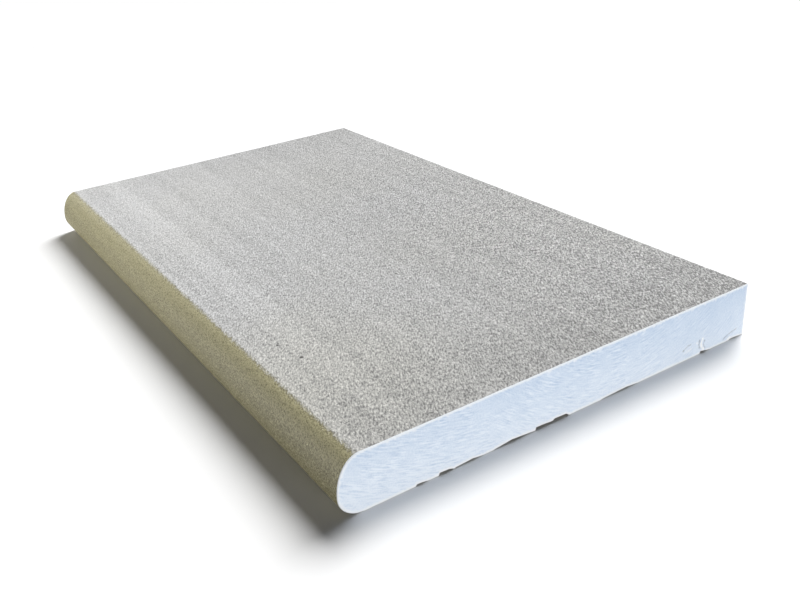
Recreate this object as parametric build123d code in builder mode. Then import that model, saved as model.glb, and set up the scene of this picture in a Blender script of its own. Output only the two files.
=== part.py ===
# Bullnose coping stone: one slab of natural stone, sawn square at both ends and along
# the back, with its front edge rounded to a bullnose over the whole length.
#
# Millimetres. The nose faces -X and the square back edge +X, the length runs along Y,
# and Z is up. The origin is the middle of the bed face, which lies on Z = 0.

import os

from build123d import *

# Driving dimensions
length = 600.0  # along the nose, from sawn end to sawn end
width = 350.0  # from the tip of the nose to the back edge
thickness = 42.0  # from the bed face to the top face
nose_under_radius = 16.0  # lower rounding of the nose, up to its foremost line
nose_top_reach = 17.0  # how far the upper rounding runs back along the top face
arris = 0.8  # easing of the sawn edges

# Places in the section
nose_x = -width / 2
back_x = width / 2
nose_top_x = nose_x + nose_top_reach
nose_under_x = nose_x + nose_under_radius
nose_top_rise = thickness - nose_under_radius

with BuildPart() as coping_stone:
    # The section across the length: flat bed and top, a square back, and a nose made of
    # a quarter circle below its foremost line and a taller quarter ellipse above it
    with BuildSketch(Plane.XZ) as section:
        with BuildLine() as outline:
            Polyline(
                (nose_top_x, thickness),
                (back_x, thickness),
                (back_x, 0),
                (nose_under_x, 0),
            )
            CenterArc((nose_under_x, nose_under_radius), nose_under_radius, 270, -90)
            EllipticalCenterArc(
                (nose_top_x, nose_under_radius),
                x_radius=nose_top_reach,
                y_radius=nose_top_rise,
                start_angle=90,
                arc_size=90,
            )
        make_face()
    extrude(amount=length / 2, both=True)

    # The saw leaves sharp corners around each end and along the back, which are eased
    end_outlines = coping_stone.faces().filter_by(Axis.Y).edges()
    back_edges = coping_stone.faces().sort_by(Axis.X)[-1].edges().filter_by(Axis.Y)
    chamfer(end_outlines + back_edges, length=arris)

coping_stone.part.label = "coping_stone"

os.makedirs("parts", exist_ok=True)
export_step(coping_stone.part, "parts/coping_stone.step")
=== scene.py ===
# Bullnose coping stone: sandblasted top, honed nose, sawn ends and back, riven underside.
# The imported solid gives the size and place; everything below dresses it.
import math

import bpy
import numpy as np
from mathutils import Matrix, Vector, noise
from mathutils.geometry import delaunay_2d_cdt


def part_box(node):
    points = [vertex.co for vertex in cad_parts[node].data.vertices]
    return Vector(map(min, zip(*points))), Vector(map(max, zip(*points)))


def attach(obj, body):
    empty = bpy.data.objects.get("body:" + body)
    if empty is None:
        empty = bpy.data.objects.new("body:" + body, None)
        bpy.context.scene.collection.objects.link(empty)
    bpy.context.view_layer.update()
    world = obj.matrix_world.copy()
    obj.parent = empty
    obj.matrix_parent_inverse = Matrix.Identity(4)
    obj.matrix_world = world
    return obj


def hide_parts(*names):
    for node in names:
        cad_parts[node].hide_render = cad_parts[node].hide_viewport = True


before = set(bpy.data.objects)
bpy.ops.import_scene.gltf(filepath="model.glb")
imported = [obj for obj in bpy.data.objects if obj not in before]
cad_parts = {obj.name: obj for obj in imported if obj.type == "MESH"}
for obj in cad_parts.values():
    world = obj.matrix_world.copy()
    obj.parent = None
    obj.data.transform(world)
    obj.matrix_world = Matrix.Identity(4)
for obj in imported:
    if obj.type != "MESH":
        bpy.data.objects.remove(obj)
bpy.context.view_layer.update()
mm = 0.001
solidLow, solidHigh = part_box("coping_stone")
width, length, thickness = (solidHigh - solidLow) / mm
noseX, backX = -width / 2, width / 2
nearY, farY = -length / 2, length / 2
print("stone", round(length), "x", round(width), "x", round(thickness), "mm")


# Shape of the slab, all in mm
stone = {
    "noseUnderRadius": 16.0,  # lower rounding of the nose, as on the solid
    "noseTopReach": 17.0,  # upper rounding, along the top
    "arris": 0.5,  # rubbed edge round the sawn faces
    "arrisUneven": 0.35,  # by hand, so its width comes and goes
    "arrisPatch": 6.0,
    "topStep": 1.85,  # mesh spacing on each face
    "noseStep": 2.4,
    "backStep": 5.0,
    "endStep": 1.7,
    "bedStep": 4.5,
    "bedEdgeStep": 0.8,
    "damageStep": 0.6,  # finer mesh where the near end is chipped
    "endMargin": 1.3,  # inner places of an end stay this far inside its arris
    "smoothAngle": 32.0,  # degrees, sharper edges stay crisp
    "grainSize": 4.5,  # sandblasted relief of the top
    "grainDepth": 0.14,
    "swellSize": 60.0,  # slow waviness left by the blasting passes
    "swellDepth": 0.06,
    "noseWave": 28.0,  # hand-held polisher on the nose
    "noseWaveDepth": 0.16,
    "sawPitch": 4.0,  # coarser kerf ridges on the sawn ends
    "sawDepth": 0.05,
    "sawCentres": [(-24.0, 300.0), (52.0, 158.0)],  # blade's axle, x and z, first and later
    "sawTurn": (-75.0, -45.0),  # it was moved while the cut was here
    "bedSize": 75.0,  # riven underside: size of its scales
    "bedLevels": 2.2,  # how many steps its scales go up and down
    "bedRaise": 1.2,
    "bedStepHeight": 0.6,
    "crumbSize": 9.0,  # loose grain between the steps
    "crumbHeight": 0.25,
    "edgeCrumbHeight": 0.1,
    "bedDepth": 2.6,
    "bedSmoothBand": 34.0,  # the nose grinder levels this much of the bed
    "topKept": 2.0,  # the bed's relief never reaches the top face
    "cornerWear": 3.0,  # far back corner is knocked round
    "seed": 11,
}

# Damage on the near end, places as (mm from the nose tip, mm above the bed)
damage = {
    "bites": [  # flaked out of the lower edge: from, to, height at each
        (53, 58, 1.2, 0.9), (58, 62, 0.8, 0.1), (69.8, 78, 1.9, 1.5), (78, 81.6, 1.4, 0.1),
        (82, 96, 0.5, 1.1), (96, 104, 0.9, 0.1), (112, 127, 0.2, 1.7), (127, 146, 1.7, 0.1),
        (147, 153, 2.3, 2.1), (153, 162, 2.0, 1.3), (162.3, 173.5, 2.4, 2.1), (173.5, 175.5, 1.8, 0.2),
        (205, 229, 0.4, 1.0), (229, 240, 0.9, 0.0), (303, 308.5, 2.0, 0.9), (308.5, 313, 0.8, 0.0),
        (335, 341, 0.7, 0.6), (341, 346, 0.5, 0.0)],
    "biteReach": 12.0,  # how far they run in under the bed
    "chips": [  # strokes over the face: path, half width, depth, look (1 crushed white, partly a painted highlight on lit facets; -1 painted shade in an open crack)
        ([(287.0, 6.8), (292.0, 7.4)], 2.2, 0.15, 0.3),
        ([(284.7, 8.9), (286.8, 10.3), (289.0, 11.3), (292.0, 11.4)], 0.65, 0.3, -0.35),
        ([(284.3, 8.6), (285.0, 9.1)], 0.8, 0.4, -0.5),
        ([(298.6, 10.4), (299.4, 9.8)], 0.9, 0.1, 0.8),
        ([(301.4, 11.2), (301.4, 8.9), (301.8, 5.7)], 1.0, 0.9, -0.5),
        ([(304.7, 11.9), (303.6, 9.3), (303.3, 7.4), (305.0, 4.3), (307.5, 2.2)], 1.2, 0.3, 1.0),
        ([(306.8, 9.6), (305.9, 7.6), (306.4, 5.5), (307.9, 3.2)], 0.6, 0.5, -0.4),
        ([(306.6, 9.9), (306.9, 9.2)], 0.8, 0.7, -0.6),
        ([(327.9, 3.0), (330.9, 4.8), (335.0, 6.0), (339.2, 7.0), (341.3, 7.3)], 0.75, 0.3, -0.4),
        ([(330.4, 0.6), (333.0, 1.4), (334.9, 2.5)], 1.2, 0.1, 0.9)],
    "ragged": 1.6,  # size of the crumbs along a chip's border
    "raggedShare": 0.45,
    "border": 1.4,  # how steeply a chip falls off from its border
    "reach": 14.0,  # places this near to the end can be broken away
    "keptApart": 0.02,  # broken places keep a little of their spacing
    "zoneFrom": (280.0, 0.0),  # patch that gets the finer mesh
    "zoneTo": (348.0, 14.0),
}


def spread(start, end, step):  # even places from start to end, about step apart
    return np.linspace(start, end, max(2, round(abs(end - start) / step) + 1))


def ripple(x, y, size, layer, octaves=3):  # soft noise with features of that size, about -1 to 1
    return noise.fractal(Vector((x / size, y / size, layer)), 1.0, 2.0, octaves)


def ease(value, start, end):  # smooth 0 to 1 between start and end
    t = np.clip((value - start) / (end - start), 0.0, 1.0)
    return t * t * (3 - 2 * t)


def pathDistance(x, z, path):  # distance to a bent line
    best = np.full(len(x), 1e9)
    for (ax, az), (bx, bz) in zip(path, path[1:]):
        dx, dz = bx - ax, bz - az
        t = np.clip(((x - ax) * dx + (z - az) * dz) / (dx * dx + dz * dz), 0.0, 1.0)
        best = np.minimum(best, np.hypot(x - ax - t * dx, z - az - t * dz))
    return best


def sectionOutline():
    # from the bed round the nose, over the top and down the back, with the finish of each run
    s = stone
    under, reach, arris = s["noseUnderRadius"], s["noseTopReach"], s["arris"]
    rise = thickness - under
    lower = spread(0, math.pi / 2, s["noseStep"] / under)
    upper = spread(0, math.pi / 2, s["noseStep"] / rise)[1:]
    top = spread(noseX + reach, backX - arris, s["topStep"])[1:]
    back = spread(thickness - arris, arris, s["backStep"])
    runs = [
        (noseX + under - under * np.sin(lower), under - under * np.cos(lower), "nose"),
        (noseX + reach - reach * np.cos(upper), under + rise * np.sin(upper), "nose"),
        (top, np.full(len(top), thickness), "top"),
        (np.full(len(back), backX), back, "back"),
        (np.array([backX - arris]), np.zeros(1), "heel"),
    ]
    xs = np.concatenate([r[0] for r in runs])
    zs = np.concatenate([r[1] for r in runs])
    finish = [name for r in runs for name in [r[2]] * len(r[0])]
    return xs, zs, finish


def bedLift(x, y):
    # riven underside: scales that step up and down, level by the nose
    s = stone
    scale = s["bedLevels"] * ripple(x, y, s["bedSize"], 2.5, 4) + s["bedRaise"]
    level = math.floor(scale)
    lift = s["bedStepHeight"] * (level + float(ease(scale - level, 0.3, 0.7)))
    # along the near end the lower edge is bitten where the photograph shows it
    edge = 0.0
    place = x - noseX
    for start, end, startHeight, endHeight in damage["bites"]:
        if start < place < end:
            edge += startHeight + (endHeight - startHeight) * (place - start) / (end - start)
    nearEdge = float(ease(nearY + damage["biteReach"] - y, 0.0, damage["biteReach"] - 2))
    crumb = ripple(x, y, s["crumbSize"], 7.5, 3)
    lift += s["crumbHeight"] * crumb
    edge += s["edgeCrumbHeight"] * crumb
    lift = lift * (1 - nearEdge) + edge * nearEdge
    lift *= float(ease(place, s["noseUnderRadius"], s["bedSmoothBand"]))
    return min(max(lift, 0.0), s["bedDepth"])


def raised(x, y, z):  # how far the riven bed lifts a place on the sides, fading towards the top
    if z >= thickness - stone["topKept"]:
        return 0.0
    return bedLift(x, y) * (1 - min(max(z, 0.0), thickness) / thickness)


def bladeMark(x, z):  # kerf ridges: circles round the axle, before and after it was moved
    share = float(ease(x, *stone["sawTurn"]))
    before, after = [ripple(math.hypot(x - cx, z - cz), 0.1 * x, stone["sawPitch"], 30.5, 2)
                     for cx, cz in stone["sawCentres"]]
    return before * (1 - share) + after * share


def endLoss(x, z):
    # stone missing from the near end, measured inwards from its sawn plane, and the look of the break,
    # with painted shade in its cracks
    place = x - noseX
    ragged = np.array([ripple(px, pz, damage["ragged"], 40.5, 2) for px, pz in zip(place, z)])
    loss, look = np.zeros(len(x)), np.zeros(len(x))
    for path, halfWidth, depth, shade in damage["chips"]:
        away = pathDistance(place, z, path) / halfWidth + damage["raggedShare"] * ragged
        share = np.clip(damage["border"] * (1 - away), 0, 1)
        loss = np.maximum(loss, depth * share)
        look = look * (1 - share) + shade * share
    return loss, look


def triangulate(places, edgeCount):
    # fills the loop made by the first edgeCount places, using all the others inside it
    loop = [(i, (i + 1) % edgeCount) for i in range(edgeCount)]
    flat = [Vector((float(u), float(v))) for u, v in places]
    found = delaunay_2d_cdt(flat, loop, [list(range(edgeCount))], 1, 1e-5)
    source = [group[0] for group in found[3]]
    return [[source[i] for i in face] for face in found[2]]


def clearOfOutline(x, z, margin):
    # true where a place of the end face lies inside the section by at least the margin
    under, reach = stone["noseUnderRadius"], stone["noseTopReach"]
    if x > backX - margin or z < margin or z > thickness - margin:
        return False
    if z < under and x < noseX + under:
        return math.hypot(x - noseX - under, z - under) < under - margin
    if z >= under and x < noseX + reach:
        rise = thickness - under
        return math.hypot((x - noseX - reach) / (reach - margin), (z - under) / (rise - margin)) < 1
    return x > noseX + margin


def shapeStone():
    s = stone
    rng = np.random.default_rng(s["seed"])
    arris = s["arris"]
    outX, outZ, finish = sectionOutline()
    count = len(outX)
    rows = spread(nearY + arris, farY - arris, s["topStep"])
    # outward direction at each place of the section
    tangentX, tangentZ = np.gradient(outX), np.gradient(outZ)
    run = np.hypot(tangentX, tangentZ)
    outwardX, outwardZ = -tangentZ / run, tangentX / run

    points, faces, looks = [], [], []
    look = {"dressed": 0, "sawn": 1, "arris": 2, "bed": 3}

    # nose, top and back, swept along the length
    for y in rows:
        for i in range(count):
            x, z = outX[i], outZ[i]
            topShare = float(ease(outwardZ[i], 0.90, 0.995)) if finish[i] in ("nose", "top") else 0.0
            depth = 0.0
            if topShare > 0:
                grain = ripple(x, y, s["grainSize"], 0.5, 2)
                swell = ripple(x, y * 0.35, s["swellSize"], 4.5, 2)
                depth += topShare * (s["grainDepth"] * (0.8 + grain) + s["swellDepth"] * (0.8 + swell))
            if topShare < 1 and finish[i] == "nose":
                depth += (1 - topShare) * s["noseWaveDepth"] * (0.8 + ripple(y, z, s["noseWave"], 9.5))
            depth = max(depth, 0.0)
            points.append((x - depth * outwardX[i], y, z - depth * outwardZ[i]))
    for j in range(len(rows) - 1):
        for i in range(count - 1):
            a = j * count + i
            faces.append((a, a + 1, a + count + 1, a + count))
            if finish[i] in ("nose", "top") and finish[i + 1] in ("nose", "top"):
                looks.append(look["dressed"])
            elif finish[i] == finish[i + 1] == "back":
                looks.append(look["sawn"])
            else:
                looks.append(look["arris"])
    print("sides", len(faces), "faces")

    # both ends: an eased arris round the outline, painted as a highlight, then the sawn face inside it
    bedXs = spread(backX - arris, noseX + s["noseUnderRadius"], s["bedEdgeStep"])[1:-1]
    bedEdges, rims, lowerRims = [], [], []
    for row, side in ((0, -1), (len(rows) - 1, 1)):
        planeY = side * length / 2
        bedEdge = list(range(len(points), len(points) + len(bedXs)))
        bedEdges.append(bedEdge)
        points += [(x, rows[row], 0.0) for x in bedXs]
        ring = [row * count + i for i in range(count)] + bedEdge
        ringX = np.concatenate([outX, bedXs])
        ringZ = np.concatenate([outZ, np.zeros(len(bedXs))])
        # step the outline in by the arris, a little unevenly
        beforeX, beforeZ = ringX - np.roll(ringX, 1), ringZ - np.roll(ringZ, 1)
        afterX, afterZ = np.roll(ringX, -1) - ringX, np.roll(ringZ, -1) - ringZ
        before = np.stack([-beforeZ, beforeX]) / np.hypot(beforeX, beforeZ)
        after = np.stack([-afterZ, afterX]) / np.hypot(afterX, afterZ)
        middle = before + after
        middle /= np.hypot(*middle)
        stretch = 1 / np.maximum((middle * after).sum(0), 0.5)
        uneven = np.array([1 + s["arrisUneven"] * ripple(x, z, s["arrisPatch"], 20.5 + side, 2)
                           for x, z in zip(ringX, ringZ)])
        uneven[count:] *= 0.5  # the lower edge was left sharper
        inX = np.array([points[i][0] for i in ring]) - middle[0] * stretch * arris * uneven
        inZ = np.array([points[i][2] for i in ring]) - middle[1] * stretch * arris * uneven
        first = len(points)
        points += [(x, planeY, z) for x, z in zip(inX, inZ)]
        total = len(ring)
        rims += range(first, first + total)
        lowerRims += range(first + count, first + total)
        for i in range(total):
            k = (i + 1) % total
            strip = (first + i, first + k, ring[k], ring[i])
            faces.append(strip if side < 0 else strip[::-1])
            looks.append(look["arris"])
        # places inside the face, a little scattered, closer together round the damage
        inside = []
        spacings = [(s["endStep"], (noseX, 0.0), (backX, thickness))]
        if side < 0:
            (fromX, fromZ), (toX, toZ) = damage["zoneFrom"], damage["zoneTo"]
            spacings.append((s["damageStep"], (noseX + fromX, fromZ), (noseX + toX, toZ)))
        for step, (x0, z0), (x1, z1) in spacings:
            for x in np.arange(x0 + step / 2, x1, step):
                for z in np.arange(z0 + step / 2, z1, step):
                    offX = rng.uniform(-0.25, 0.25) * step
                    offZ = rng.uniform(-0.25, 0.25) * step
                    inside.append((x + offX, z + offZ))
        inside = [p for p in inside if clearOfOutline(p[0], p[1], s["endMargin"] + arris)]
        # joined up where they end up, so that no triangle turns over beside a bite
        edge = [(x, z + raised(x, planeY, z)) for x, z in zip(inX, inZ)]
        lowX, lowZ = np.array(edge[:count - 1:-1]).T  # its lower run, from the nose to the back
        inside = [(x, z) for x, z in inside if z + raised(x, planeY, z) > np.interp(x, lowX, lowZ)]
        flat = edge + [(x, z + raised(x, planeY, z)) for x, z in inside]
        points += [(x, planeY, z) for x, z in inside]
        for triangle in triangulate(flat, total):
            corners = [first + i for i in triangle]
            faces.append(corners if side < 0 else corners[::-1])
            looks.append(look["sawn"])
    print("ends", len(faces), "faces so far")

    # the bed
    nearEdge, farEdge = bedEdges
    noseLine = [j * count for j in range(len(rows))]
    heelLine = [j * count + count - 1 for j in range(len(rows))]
    border = noseLine + farEdge[::-1] + heelLine[::-1] + nearEdge
    step = s["bedStep"]
    inner = [(x + rng.uniform(-0.3, 0.3) * step, y + rng.uniform(-0.3, 0.3) * step)
             for x in np.arange(noseX + s["noseUnderRadius"] + step * 0.8, backX - step * 0.8, step)
             for y in np.arange(nearY + step * 0.9, farY - step * 0.8, step)]
    flat = [(points[i][0], points[i][1]) for i in border] + inner
    index = border + list(range(len(points), len(points) + len(inner)))
    points += [(x, y, 0.0) for x, y in inner]
    for triangle in triangulate(flat, len(border)):
        faces.append([index[i] for i in triangle][::-1])
        looks.append(look["bed"])

    # wear and damage move points that are already there
    places = np.array(points)
    x, y, z = places.T
    z += np.array([raised(*point) for point in points])
    onEnd = np.abs(np.abs(y) - farY) < 1e-6
    saw = np.array([bladeMark(px, pz) for px, py, pz in places[onEnd]])
    y[onEnd] -= np.sign(y[onEnd]) * s["sawDepth"] * np.maximum(0.8 + saw, 0)
    # painted highlight: the rims round both ends whitened, the lower rim most
    bruiseAndPaintedLight = np.zeros(len(places))
    bruiseAndPaintedLight[rims] = 0.8
    bruiseAndPaintedLight[lowerRims] = 1.0
    near = np.flatnonzero(y < nearY + damage["reach"])
    loss, broken = endLoss(x[near], z[near])
    fromNear = y[near] - nearY
    y[near] += np.maximum(loss + damage["keptApart"] * fromNear - fromNear, 0.0)
    bruiseAndPaintedLight[near] = np.where(np.abs(broken) > 0.05, broken, bruiseAndPaintedLight[near])
    overX = x - (backX - s["cornerWear"])
    overY = y - (farY - s["cornerWear"])
    over = np.hypot(overX, overY)
    worn = (overX > 0) & (overY > 0) & (over > s["cornerWear"])
    shrink = np.where(worn, s["cornerWear"] / np.maximum(over, 1e-6), 1.0)
    x -= np.where(worn, overX * (1 - shrink), 0.0)
    y -= np.where(worn, overY * (1 - shrink), 0.0)

    mesh = bpy.data.meshes.new("copingMesh")
    mesh.from_pydata((places * mm).tolist(), [], faces)
    mesh.polygons.foreach_set("material_index", looks)
    mesh.polygons.foreach_set("use_smooth", [True] * len(faces))
    mesh.set_sharp_from_angle(angle=math.radians(s["smoothAngle"]))
    bruiseAndPaintedLightLayer = mesh.attributes.new("bruiseAndPaintedLight", "FLOAT", "POINT")
    bruiseAndPaintedLightLayer.data.foreach_set("value", bruiseAndPaintedLight.astype(np.float32))
    mesh.update()
    print("stone", len(mesh.vertices), "points,", sum(len(f) - 2 for f in faces), "triangles")
    piece = bpy.data.objects.new("dressedCoping", mesh)
    bpy.context.scene.collection.objects.link(piece)
    return piece


def linear(code, alpha=1.0):  # sRGB hex to linear
    parts = [int(code[i:i + 2], 16) / 255 for i in (1, 3, 5)]
    return tuple(c / 12.92 if c <= 0.04045 else ((c + 0.055) / 1.055) ** 2.4 for c in parts) + (alpha,)


def addNode(tree, kind, settings=None, inputs=None):
    node = tree.nodes.new(kind)
    for name, value in (settings or {}).items():
        setattr(node, name, value)
    for socket, value in (inputs or {}).items():
        if isinstance(value, bpy.types.NodeSocket):
            tree.links.new(value, node.inputs[socket])
        else:
            node.inputs[socket].default_value = value
    return node


def startMaterial(name):
    material = bpy.data.materials.new(name)
    material.use_nodes = True
    tree = material.node_tree
    shader = tree.nodes["Principled BSDF"]
    place = addNode(tree, "ShaderNodeTexCoord").outputs["Object"]
    return material, tree, shader, place


# Sandblasted sandstone on the top: grit opens the grain, so it reads as pale grey salt and pepper
# with no shine. The nose is honed after, which closes the grain and brings out a darker tan.
blasted = {
    "darkGrain": "#686867",
    "paleGrain": "#e5e5e5",
    "warmGrain": "#e4e1d3",
    "darkTan": "#666041",
    "paleTan": "#c0b991",
    "pitColour": "#2f2d2a",
    "grain": 1.2,  # mm across
    "grainLength": 3.1,
    "grainTurn": 30.0,  # degrees off the length
    "fleck": 0.9,
    "clump": 2.4,  # grains stand in clumps
    "quartzGlint": 0.35,  # a few of them are pale, painted bright as glints
    "grainWeight": 1.64,  # how much each of these lightens or darkens a spot
    "fleckWeight": 0.78,
    "clumpWeight": 0.4,
    "streakWeight": 0.26,
    "speckleShift": -1.41,  # brings their sum back to the middle
    "baseLevel": 0.345,
    "backContrast": 1.45,  # grain contrast at the back edge: painted relief shade, stronger there
    "backContrastAt": 140.0,  # mm from the middle
    "farContrast": 0.78,  # and at the far end, where it is lower
    "farContrastAt": 280.0,
    "darkerAtEnds": 0.08,  # darker towards both ends
    "darkerAtEndsFrom": 190.0,
    "darkerAtEndsTo": 295.0,
    "streak": 9.0,  # blasting passes, along the length
    "paintedLightDrift": 0.2,  # painted sheen: paler towards the nose
    "paintedSheenAlong": 0.17,  # painted sheen: and paler towards the far end
    "palePass": 122.0,  # one heavier pass, mm from the middle towards the nose
    "passWidth": 16.0,
    "passLift": 0.08,
    "noseEdgeHighlightWidth": 9.0,  # painted highlight: a paler strip on the top beside the nose line
    "noseEdgeHighlightLift": 0.07,
    "mottle": 150.0,
    "mottleWarmth": 0.2,
    "tinge": (-140.0, -235.0),  # iron in the stone warms the near corner by the nose
    "tingeReach": 170.0,
    "tingeCore": 20.0,
    "tingeShare": 0.45,
    "noseLine": 160.0,  # mm from the middle, where the honing stops
    "noseSkew": 0.0025,  # the wheel's line is not quite straight along the stone
    "noseBlur": 2.0,
    "noseRagged": 6.0,  # grains along that line are honed or left
    "tanGrain": 1.4,
    "tanFleck": 2.8,
    "tanShift": -1.8,
    "noseTopLight": 0.5,  # painted light: the upper nose paler, as if lit from above
    "noseTopLightFrom": 24.0,  # mm above the bed
    "noseTopLightTo": 40.0,
    "rimShare": 0.8,  # painted shade: the last of the curve darker again
    "rimFrom": 39.5,
    "rimTo": 42.5,
    "pits": [(-133.5, -182.4, 1.5), (-11.5, -110.8, 1.0), (-139.0, -156.5, 0.9),
             (96.5, 85.0, 1.0), (101.0, 88.0, 0.9), (97.5, 72.5, 1.1)],
    "relief": 0.6,  # mm
    "fleckRelief": 0.5,  # share of the flecks in it
    "noseRelief": 0.4,  # share of it left on the nose
    "roughTop": 0.7,
    "roughNose": 0.62,
    "shine": 0.4,  # an open, dusty surface shines less than its IOR says
}


def sandblastedSandstone():
    b = blasted
    material, tree, shader, place = startMaterial("Sandblasted sandstone, honed nose")
    axes = addNode(tree, "ShaderNodeSeparateXYZ", inputs={0: place})
    drawn = addNode(tree, "ShaderNodeMapping", {"vector_type": "TEXTURE"}, {
        "Vector": place, "Rotation": (0, 0, math.radians(-b["grainTurn"])),
        "Scale": (1.0, b["grainLength"] / b["grain"], 1.0)})
    grain = addNode(tree, "ShaderNodeTexNoise", inputs={
        "Vector": drawn.outputs[0], "Scale": 1000 / b["grain"], "Detail": 2.0, "Roughness": 0.6})
    fleck = addNode(tree, "ShaderNodeTexNoise", inputs={
        "Vector": place, "Scale": 1000 / b["fleck"], "Detail": 1.0, "Roughness": 0.5})
    clump = addNode(tree, "ShaderNodeTexNoise", inputs={
        "Vector": drawn.outputs[0], "Scale": 1000 / b["clump"], "Detail": 1.0})
    along = addNode(tree, "ShaderNodeMapping", inputs={
        "Vector": place, "Scale": (1.0, 0.02, 1.0)})
    streak = addNode(tree, "ShaderNodeTexNoise", inputs={
        "Vector": along.outputs[0], "Scale": 1000 / b["streak"], "Detail": 2.0})
    mottle = addNode(tree, "ShaderNodeTexNoise", inputs={
        "Vector": place, "Scale": 1000 / b["mottle"], "Detail": 2.0})

    # honing ends along a ragged line a little behind the nose's rounding
    skewed = addNode(tree, "ShaderNodeMath", {"operation": "MULTIPLY_ADD"}, {
        0: axes.outputs[1], 1: -b["noseSkew"], 2: axes.outputs[0]})
    ragged = addNode(tree, "ShaderNodeMath", {"operation": "MULTIPLY_ADD"}, {
        0: grain.outputs[0], 1: b["noseRagged"] * mm, 2: skewed.outputs[0]})
    honingStops = b["noseLine"] - b["noseRagged"] / 2
    honed = addNode(tree, "ShaderNodeMapRange", {"interpolation_type": "SMOOTHSTEP"}, {
        0: ragged.outputs[0],
        1: -(honingStops - b["noseBlur"]) * mm,
        2: -(honingStops + b["noseBlur"]) * mm})
    # below mid height the dressed face is all nose, honed down to the bed
    lowerHalf = addNode(tree, "ShaderNodeMath", {"operation": "LESS_THAN"}, {
        0: axes.outputs[2], 1: thickness / 2 * mm})
    honed = addNode(tree, "ShaderNodeMath", {"operation": "MAXIMUM"}, {
        0: lowerHalf.outputs[0], 1: honed.outputs[0]})

    # how light each spot of the top is
    speckle = addNode(tree, "ShaderNodeMath", {"operation": "MULTIPLY_ADD"}, {
        0: grain.outputs[0], 1: b["grainWeight"], 2: b["speckleShift"]})
    speckle = addNode(tree, "ShaderNodeMath", {"operation": "MULTIPLY_ADD"}, {
        0: fleck.outputs[0], 1: b["fleckWeight"], 2: speckle.outputs[0]})
    speckle = addNode(tree, "ShaderNodeMath", {"operation": "MULTIPLY_ADD"}, {
        0: clump.outputs[0], 1: b["clumpWeight"], 2: speckle.outputs[0]})
    # painted glint: a few grains brightened
    quartzGlint = addNode(tree, "ShaderNodeMapRange", inputs={
        0: fleck.outputs[0], 1: 0.62, 2: 0.78, 3: 0.0, 4: b["quartzGlint"]})
    speckle = addNode(tree, "ShaderNodeMath", {"operation": "ADD"}, {
        0: quartzGlint.outputs[0], 1: speckle.outputs[0]})
    # painted relief shade: grain contrast stronger towards the back edge, lower at the far end
    backContrast = addNode(tree, "ShaderNodeMapRange", {"interpolation_type": "SMOOTHSTEP"}, {
        0: axes.outputs[0], 1: 0.0, 2: b["backContrastAt"] * mm, 3: 1.0, 4: b["backContrast"]})
    farContrast = addNode(tree, "ShaderNodeMapRange", {"interpolation_type": "SMOOTHSTEP"}, {
        0: axes.outputs[1], 1: 0.0, 2: b["farContrastAt"] * mm, 3: 1.0, 4: b["farContrast"]})
    backContrast = addNode(tree, "ShaderNodeMath", {"operation": "MULTIPLY"}, {
        0: farContrast.outputs[0], 1: backContrast.outputs[0]})
    level = addNode(tree, "ShaderNodeMath", {"operation": "MULTIPLY_ADD"}, {
        0: speckle.outputs[0], 1: backContrast.outputs[0], 2: b["baseLevel"]})
    level = addNode(tree, "ShaderNodeMath", {"operation": "MULTIPLY_ADD"}, {
        0: streak.outputs[0], 1: b["streakWeight"], 2: level.outputs[0]})
    fromMiddle = addNode(tree, "ShaderNodeMath", {"operation": "ABSOLUTE"}, {0: axes.outputs[1]})
    # darker towards both ends
    darkerAtEnds = addNode(tree, "ShaderNodeMapRange", {"interpolation_type": "SMOOTHSTEP"}, {
        0: fromMiddle.outputs[0], 1: b["darkerAtEndsFrom"] * mm, 2: b["darkerAtEndsTo"] * mm,
        3: 0.0, 4: -b["darkerAtEnds"]})
    level = addNode(tree, "ShaderNodeMath", {"operation": "ADD"}, {
        0: darkerAtEnds.outputs[0], 1: level.outputs[0]})
    fromPass = addNode(tree, "ShaderNodeMath", {"operation": "SUBTRACT"}, {
        0: axes.outputs[0], 1: -b["palePass"] * mm})
    fromPass = addNode(tree, "ShaderNodeMath", {"operation": "ABSOLUTE"}, {0: fromPass.outputs[0]})
    palePass = addNode(tree, "ShaderNodeMapRange", {"interpolation_type": "SMOOTHSTEP"}, {
        0: fromPass.outputs[0], 1: b["passWidth"] * mm, 2: 0.0, 3: 0.0, 4: b["passLift"]})
    level = addNode(tree, "ShaderNodeMath", {"operation": "ADD"}, {
        0: palePass.outputs[0], 1: level.outputs[0]})
    # painted sheen: paler towards the nose and towards the far end
    level = addNode(tree, "ShaderNodeMath", {"operation": "MULTIPLY_ADD"}, {
        0: axes.outputs[0], 1: -b["paintedLightDrift"] / (width * mm), 2: level.outputs[0]})
    level = addNode(tree, "ShaderNodeMath", {"operation": "MULTIPLY_ADD"}, {
        0: axes.outputs[1], 1: b["paintedSheenAlong"] / (length * mm), 2: level.outputs[0]})
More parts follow.
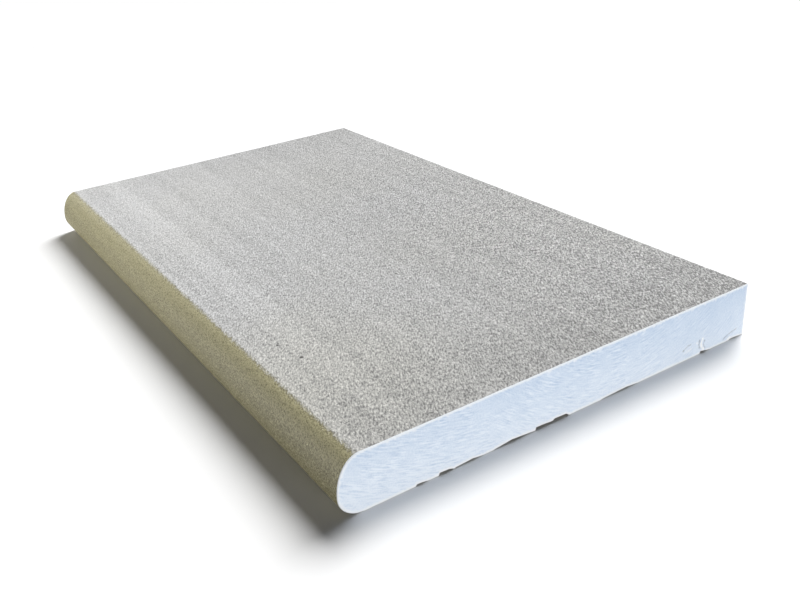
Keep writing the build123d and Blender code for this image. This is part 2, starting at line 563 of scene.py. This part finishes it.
    # painted highlight: paler strip beside where the honing stops
    noseEdgeHighlight = addNode(tree, "ShaderNodeMapRange", {"interpolation_type": "SMOOTHSTEP"}, {
        0: ragged.outputs[0],
        1: -(honingStops - b["noseEdgeHighlightWidth"]) * mm,
        2: -honingStops * mm, 3: 0.0, 4: b["noseEdgeHighlightLift"]})
    level = addNode(tree, "ShaderNodeMath", {"operation": "ADD", "use_clamp": True}, {
        0: noseEdgeHighlight.outputs[0], 1: level.outputs[0]})
    level = level.outputs[0]
    fromCorner = addNode(tree, "ShaderNodeVectorMath", {"operation": "DISTANCE"}, {
        0: place, 1: (b["tinge"][0] * mm, b["tinge"][1] * mm, thickness * mm)})
    tinge = addNode(tree, "ShaderNodeMapRange", {"interpolation_type": "SMOOTHSTEP"}, {
        0: fromCorner.outputs["Value"], 1: b["tingeReach"] * mm, 2: b["tingeCore"] * mm,
        3: 0.0, 4: b["tingeShare"]})
    warm = addNode(tree, "ShaderNodeMapRange", inputs={
        0: mottle.outputs[0], 1: 0.4, 2: 0.75, 3: 0.0, 4: b["mottleWarmth"]})
    warm = addNode(tree, "ShaderNodeMath", {"operation": "ADD"}, {
        0: tinge.outputs[0], 1: warm.outputs[0]})
    pale = addNode(tree, "ShaderNodeMix", {"data_type": "RGBA"}, {
        0: warm.outputs[0], 6: linear(b["paleGrain"]), 7: linear(b["warmGrain"])})
    top = addNode(tree, "ShaderNodeMix", {"data_type": "RGBA"}, {
        0: level, 6: linear(b["darkGrain"]), 7: pale.outputs[2]})
    # painted light and shade on the nose: paler higher up, darker again at the last of the curve
    upper = addNode(tree, "ShaderNodeMapRange", {"interpolation_type": "SMOOTHSTEP"}, {
        0: axes.outputs[2], 1: b["noseTopLightFrom"] * mm, 2: b["noseTopLightTo"] * mm,
        3: b["tanShift"], 4: b["tanShift"] + b["noseTopLight"]})
    rim = addNode(tree, "ShaderNodeMapRange", {"interpolation_type": "SMOOTHSTEP"}, {
        0: axes.outputs[2], 1: b["rimFrom"] * mm, 2: b["rimTo"] * mm,
        3: 0.0, 4: -b["rimShare"] * b["noseTopLight"]})
    upper = addNode(tree, "ShaderNodeMath", {"operation": "ADD"}, {
        0: upper.outputs[0], 1: rim.outputs[0]})
    tan = addNode(tree, "ShaderNodeMath", {"operation": "MULTIPLY_ADD"}, {
        0: grain.outputs[0], 1: b["tanGrain"], 2: upper.outputs[0]})
    tan = addNode(tree, "ShaderNodeMath", {"operation": "MULTIPLY_ADD", "use_clamp": True}, {
        0: fleck.outputs[0], 1: b["tanFleck"], 2: tan.outputs[0]})
    nose = addNode(tree, "ShaderNodeMix", {"data_type": "RGBA"}, {
        0: tan.outputs[0], 6: linear(b["darkTan"]), 7: linear(b["paleTan"])})
    colour = addNode(tree, "ShaderNodeMix", {"data_type": "RGBA"}, {
        0: honed.outputs[0], 6: top.outputs[2], 7: nose.outputs[2]}).outputs[2]

    # a few open pits with shade in them
    for x, y, radius in b["pits"]:
        away = addNode(tree, "ShaderNodeVectorMath", {"operation": "DISTANCE"}, {
            0: place, 1: (x * mm, y * mm, thickness * mm)})
        hole = addNode(tree, "ShaderNodeMapRange", inputs={
            0: away.outputs["Value"], 1: radius * 1.3 * mm, 2: radius * 0.6 * mm})
        colour = addNode(tree, "ShaderNodeMix", {"data_type": "RGBA"}, {
            0: hole.outputs[0], 6: colour, 7: linear(b["pitColour"])}).outputs[2]
    tree.links.new(colour, shader.inputs["Base Color"])

    rough = addNode(tree, "ShaderNodeMapRange", inputs={
        0: honed.outputs[0], 3: b["roughTop"], 4: b["roughNose"]})
    tree.links.new(rough.outputs[0], shader.inputs["Roughness"])
    height = addNode(tree, "ShaderNodeMath", {"operation": "MULTIPLY_ADD"}, {
        0: fleck.outputs[0], 1: b["fleckRelief"], 2: grain.outputs[0]})
    softer = addNode(tree, "ShaderNodeMapRange", inputs={
        0: honed.outputs[0], 3: 1.0, 4: b["noseRelief"]})
    height = addNode(tree, "ShaderNodeMath", {"operation": "MULTIPLY"}, {
        0: height.outputs[0], 1: softer.outputs[0]})
    bump = addNode(tree, "ShaderNodeBump", inputs={
        "Strength": 1.0, "Distance": b["relief"] * mm, "Height": height.outputs[0]})
    tree.links.new(bump.outputs[0], shader.inputs["Normal"])
    shader.inputs["IOR"].default_value = 1.5
    shader.inputs["Specular IOR Level"].default_value = b["shine"]
    return material


# Sawn sandstone: flat and chalky with faint arcs from the blade; its pale cool blue is painted light,
# bluish daylight over a pale grey face
sawn = {
    "dark": "#bacde4",
    "pale": "#e8f1fc",
    "crushedAndHighlight": "#fbfdff",
    "paintedCrackShade": "#6f6a68",
    "arc": 1.2,  # mm across a blade mark
    "arcLength": 10.0,
    "patch": 13.0,  # the marks come and go
    "faded": 0.55,  # and are fainter towards the back
    "fadedFrom": 30.0,  # mm from the middle
    "fadedTo": 150.0,
    "mottle": 30.0,
    "dust": 1.2,
    "markWeight": 1.6,  # how much each of these lightens or darkens a spot
    "mottleWeight": 0.4,
    "dustWeight": 0.8,
    "levelShift": -0.05,
    "paintedLowLight": 0.34,  # painted light: paler towards the bottom, offsetting the shade from the floor
    "paintedLowLightTop": 0.6,  # and the top darker by this share of it
    "paintedLightDrift": 0.26,  # painted light: paler towards the nose
    "relief": 0.1,  # mm
    "dustRelief": 0.6,  # share of the dust in it
    "rough": 0.8,
    "shine": 0.25,  # dusty
}


def sawnSandstone():
    w = sawn
    material, tree, shader, place = startMaterial("Sawn sandstone")
    axes = addNode(tree, "ShaderNodeSeparateXYZ", inputs={0: place})
    # blade marks follow circles round the axle: distance across them, angle along them
    arcs = []
    for centreX, centreZ in stone["sawCentres"]:
        offX = addNode(tree, "ShaderNodeMath", {"operation": "SUBTRACT"}, {
            0: axes.outputs[0], 1: centreX * mm})
        offZ = addNode(tree, "ShaderNodeMath", {"operation": "SUBTRACT"}, {
            0: axes.outputs[2], 1: centreZ * mm})
        flat = addNode(tree, "ShaderNodeCombineXYZ", inputs={0: offX.outputs[0], 1: offZ.outputs[0]})
        away = addNode(tree, "ShaderNodeVectorMath", {"operation": "LENGTH"}, {0: flat.outputs[0]})
        angle = addNode(tree, "ShaderNodeMath", {"operation": "ARCTAN2"}, {
            0: offX.outputs[0], 1: offZ.outputs[0]})
        turned = addNode(tree, "ShaderNodeMath", {"operation": "MULTIPLY"}, {
            0: angle.outputs[0], 1: centreZ * mm * w["arc"] / w["arcLength"]})
        arcPlace = addNode(tree, "ShaderNodeCombineXYZ", inputs={
            0: away.outputs["Value"], 1: turned.outputs[0], 2: axes.outputs[1]})
        arcs.append(addNode(tree, "ShaderNodeTexNoise", inputs={
            "Vector": arcPlace.outputs[0], "Scale": 1000 / w["arc"], "Detail": 2.0, "Roughness": 0.6}))
    moved = addNode(tree, "ShaderNodeMapRange", inputs={
        0: axes.outputs[0], 1: stone["sawTurn"][0] * mm, 2: stone["sawTurn"][1] * mm})
    arc = addNode(tree, "ShaderNodeMix", inputs={
        0: moved.outputs[0], 2: arcs[0].outputs[0], 3: arcs[1].outputs[0]})
    patch = addNode(tree, "ShaderNodeTexNoise", inputs={
        "Vector": place, "Scale": 1000 / w["patch"], "Detail": 1.0})
    shown = addNode(tree, "ShaderNodeMapRange", inputs={
        0: patch.outputs[0], 1: 0.35, 2: 0.6, 3: 0.3, 4: 1.5})
    fainter = addNode(tree, "ShaderNodeMapRange", inputs={
        0: axes.outputs[0], 1: w["fadedFrom"] * mm, 2: w["fadedTo"] * mm, 3: 1.0, 4: w["faded"]})
    shown = addNode(tree, "ShaderNodeMath", {"operation": "MULTIPLY"}, {
        0: shown.outputs[0], 1: fainter.outputs[0]})
    mark = addNode(tree, "ShaderNodeMath", {"operation": "SUBTRACT"}, {0: arc.outputs[0], 1: 0.5})
    mark = addNode(tree, "ShaderNodeMath", {"operation": "MULTIPLY"}, {
        0: mark.outputs[0], 1: shown.outputs[0]})
    mottle = addNode(tree, "ShaderNodeTexNoise", inputs={
        "Vector": place, "Scale": 1000 / w["mottle"], "Detail": 4.0})
    dust = addNode(tree, "ShaderNodeTexNoise", inputs={
        "Vector": place, "Scale": 1000 / w["dust"], "Detail": 2.0})
    level = addNode(tree, "ShaderNodeMath", {"operation": "MULTIPLY_ADD"}, {
        0: mark.outputs[0], 1: w["markWeight"], 2: w["levelShift"]})
    level = addNode(tree, "ShaderNodeMath", {"operation": "MULTIPLY_ADD"}, {
        0: mottle.outputs[0], 1: w["mottleWeight"], 2: level.outputs[0]})
    level = addNode(tree, "ShaderNodeMath", {"operation": "MULTIPLY_ADD"}, {
        0: dust.outputs[0], 1: w["dustWeight"], 2: level.outputs[0]})
    # painted light: paler at the bottom, darker at the top
    paintedLowLight = addNode(tree, "ShaderNodeMapRange", inputs={
        0: axes.outputs[2], 1: 0.0, 2: thickness * mm,
        3: w["paintedLowLight"], 4: -w["paintedLowLightTop"] * w["paintedLowLight"]})
    # painted light: paler towards the nose
    level = addNode(tree, "ShaderNodeMath", {"operation": "MULTIPLY_ADD"}, {
        0: axes.outputs[0], 1: -w["paintedLightDrift"] / (width * mm), 2: level.outputs[0]})
    level = addNode(tree, "ShaderNodeMath", {"operation": "ADD", "use_clamp": True}, {
        0: paintedLowLight.outputs[0], 1: level.outputs[0]})
    face = addNode(tree, "ShaderNodeMix", {"data_type": "RGBA"}, {
        0: level.outputs[0], 6: linear(w["dark"]), 7: linear(w["pale"])})
    # chips carry a value: above 0 crushed white powder, and along the rims round the ends a painted
    # highlight; below 0 painted shade in an open crack
    bruiseAndPaintedLight = addNode(tree, "ShaderNodeAttribute", {"attribute_name": "bruiseAndPaintedLight"}).outputs["Fac"]
    paintedCrackShade = addNode(tree, "ShaderNodeMapRange", inputs={0: bruiseAndPaintedLight, 1: 0.0, 2: -1.0})
    colour = addNode(tree, "ShaderNodeMix", {"data_type": "RGBA", "clamp_factor": True}, {
        0: bruiseAndPaintedLight, 6: face.outputs[2], 7: linear(w["crushedAndHighlight"])})
    colour = addNode(tree, "ShaderNodeMix", {"data_type": "RGBA"}, {
        0: paintedCrackShade.outputs[0], 6: colour.outputs[2], 7: linear(w["paintedCrackShade"])})
    tree.links.new(colour.outputs[2], shader.inputs["Base Color"])
    height = addNode(tree, "ShaderNodeMath", {"operation": "MULTIPLY_ADD"}, {
        0: dust.outputs[0], 1: w["dustRelief"], 2: mark.outputs[0]})
    bump = addNode(tree, "ShaderNodeBump", inputs={
        "Strength": 1.0, "Distance": w["relief"] * mm, "Height": height.outputs[0]})
    tree.links.new(bump.outputs[0], shader.inputs["Normal"])
    shader.inputs["Roughness"].default_value = w["rough"]
    shader.inputs["IOR"].default_value = 1.5
    shader.inputs["Specular IOR Level"].default_value = w["shine"]
    return material


# Eased arris round the sawn faces, painted near white as a highlight along the edge
arrisHighlight = {"dark": "#dfe8f2", "pale": "#fbfdff", "crumb": 1.8, "relief": 0.1, "rough": 0.9}


def highlitArris():
    r = arrisHighlight
    material, tree, shader, place = startMaterial("Sandstone arris, painted highlight")
    crumb = addNode(tree, "ShaderNodeTexNoise", inputs={
        "Vector": place, "Scale": 1000 / r["crumb"], "Detail": 2.0})
    colour = addNode(tree, "ShaderNodeMix", {"data_type": "RGBA"}, {
        0: crumb.outputs[0], 6: linear(r["dark"]), 7: linear(r["pale"])})
    tree.links.new(colour.outputs[2], shader.inputs["Base Color"])
    bump = addNode(tree, "ShaderNodeBump", inputs={
        "Strength": 1.0, "Distance": r["relief"] * mm, "Height": crumb.outputs[0]})
    tree.links.new(bump.outputs[0], shader.inputs["Normal"])
    shader.inputs["Roughness"].default_value = r["rough"]
    shader.inputs["IOR"].default_value = 1.5
    return material


# Riven sandstone: the bed as it split, duller and browner, with the grain torn open
riven = {
    "dark": "#7d786c",
    "pale": "#bcb7aa",
    "scale": 38.0,  # mm
    "grain": 2.6,
    "scaleWeight": 1.4,
    "grainWeight": 0.9,
    "levelShift": -0.6,
    "relief": 0.5,
    "rough": 0.95,
}


def rivenSandstone():
    r = riven
    material, tree, shader, place = startMaterial("Riven sandstone")
    scale = addNode(tree, "ShaderNodeTexNoise", inputs={
        "Vector": place, "Scale": 1000 / r["scale"], "Detail": 5.0, "Roughness": 0.6})
    grain = addNode(tree, "ShaderNodeTexNoise", inputs={
        "Vector": place, "Scale": 1000 / r["grain"], "Detail": 3.0})
    level = addNode(tree, "ShaderNodeMath", {"operation": "MULTIPLY_ADD", "use_clamp": True}, {
        0: scale.outputs[0], 1: r["scaleWeight"], 2: r["levelShift"]})
    level = addNode(tree, "ShaderNodeMath", {"operation": "MULTIPLY_ADD", "use_clamp": True}, {
        0: grain.outputs[0], 1: r["grainWeight"], 2: level.outputs[0]})
    colour = addNode(tree, "ShaderNodeMix", {"data_type": "RGBA"}, {
        0: level.outputs[0], 6: linear(r["dark"]), 7: linear(r["pale"])})
    tree.links.new(colour.outputs[2], shader.inputs["Base Color"])
    bump = addNode(tree, "ShaderNodeBump", inputs={
        "Strength": 1.0, "Distance": r["relief"] * mm, "Height": grain.outputs[0]})
    tree.links.new(bump.outputs[0], shader.inputs["Normal"])
    shader.inputs["Roughness"].default_value = r["rough"]
    shader.inputs["IOR"].default_value = 1.5
    return material


coping = shapeStone()
for material in (sandblastedSandstone(), sawnSandstone(), highlitArris(), rivenSandstone()):
    coping.data.materials.append(material)
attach(coping, "root")
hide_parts("coping_stone")
print("stone dressed")


# Floor, world and lamps: a plain white studio
studio = {
    "floorSize": 30.0,  # m
    "floorBounce": 0.36,  # what the floor throws back at the stone
    "floorShown": 1.09,  # and how pale the camera sees it, so that it is white outside the shadow
    "world": 0.02,
    "sunFrom": (0.72, 0.37, 0.78),  # over the back right: shadow on the nose side and in front
    "sunStrength": 4.1,
    "sunSpread": 34.0,  # degrees, how soft its shadow is
    "lamps": [  # low fills: name, place, aim, width, height, watts
        ("endFill", (0.05, -1.7, 0.04), (0.0, -0.3, 0.02), 0.5, 0.06, 15.6),
        ("noseFill", (-0.77, 0.26, 0.03), (-0.17, 0.05, 0.02), 0.3, 0.05, 2.9),
        ("backGlow", (-0.05, 1.5, 0.32), (-0.1, 0.1, 0.04), 0.7, 0.34, 4.5),
    ],
}


def seenDirectly(tree):  # 1 where the camera sees it, also in a reflection or through glass
    path = addNode(tree, "ShaderNodeLightPath")
    seen = addNode(tree, "ShaderNodeMath", {"operation": "MAXIMUM"}, {
        0: path.outputs["Is Camera Ray"], 1: path.outputs["Is Glossy Ray"]})
    return addNode(tree, "ShaderNodeMath", {"operation": "MAXIMUM"}, {
        0: seen.outputs[0], 1: path.outputs["Is Transmission Ray"]}).outputs[0]


def setStudio():
    s = studio
    bpy.ops.mesh.primitive_plane_add(size=s["floorSize"], location=(0, 0, 0))
    floor = bpy.context.object
    floor.name = "studioFloor"
    material = bpy.data.materials.new("White studio floor")
    material.use_nodes = True
    tree = material.node_tree
    pale = addNode(tree, "ShaderNodeMapRange", inputs={
        0: seenDirectly(tree), 3: s["floorBounce"], 4: s["floorShown"]})
    matt = addNode(tree, "ShaderNodeBsdfDiffuse", inputs={"Color": pale.outputs[0]})
    tree.links.new(matt.outputs[0], tree.nodes["Material Output"].inputs["Surface"])
    tree.nodes.remove(tree.nodes["Principled BSDF"])
    floor.data.materials.append(material)

    world = bpy.data.worlds.new("White studio")
    bpy.context.scene.world = world
    world.use_nodes = True
    tree = world.node_tree
    back = tree.nodes["Background"]
    strength = addNode(tree, "ShaderNodeMapRange", inputs={0: seenDirectly(tree), 3: s["world"], 4: 1.0})
    back.inputs["Color"].default_value = (1, 1, 1, 1)
    tree.links.new(strength.outputs[0], back.inputs["Strength"])

    sun = bpy.data.lights.new("window", "SUN")
    sun.energy = s["sunStrength"]
    sun.angle = math.radians(s["sunSpread"])
    holder = bpy.data.objects.new("window", sun)
    holder.rotation_euler = (-Vector(s["sunFrom"])).to_track_quat("-Z", "Y").to_euler()
    bpy.context.scene.collection.objects.link(holder)
    for name, place, aim, wide, high, watts in s["lamps"]:
        lamp = bpy.data.lights.new(name, "AREA")
        lamp.shape = "RECTANGLE"
        lamp.size, lamp.size_y = wide, high
        lamp.energy = watts
        holder = bpy.data.objects.new(name, lamp)
        holder.location = place
        holder.rotation_euler = (Vector(aim) - Vector(place)).to_track_quat("-Z", "Y").to_euler()
        holder.visible_camera = False
        bpy.context.scene.collection.objects.link(holder)
    print("studio lit by", len(s["lamps"]) + 1, "lamps")


# Camera as the photograph was taken: hand-held, a little rolled
viewpoint = {
    "place": (-0.3473, -0.6728, 0.3400),  # m
    "heading": 30.97,  # degrees from +Y towards +X
    "pitch": -26.54,
    "roll": -4.445,
    "lens": 40.48,
}


def setCamera():
    v = viewpoint
    camera = bpy.data.objects.new("camera", bpy.data.cameras.new("camera"))
    camera.data.lens = v["lens"]
    camera.data.sensor_width = 36.0
    camera.data.clip_start = 0.01
    turn = Matrix.Rotation(math.radians(-v["heading"]), 4, "Z")
    tilt = Matrix.Rotation(math.radians(90 + v["pitch"]), 4, "X")
    roll = Matrix.Rotation(math.radians(v["roll"]), 4, "Z")
    camera.matrix_world = Matrix.Translation(v["place"]) @ turn @ tilt @ roll
    bpy.context.scene.collection.objects.link(camera)
    bpy.context.scene.camera = camera


setStudio()
setCamera()
bpy.context.scene.view_settings.view_transform = "Standard"
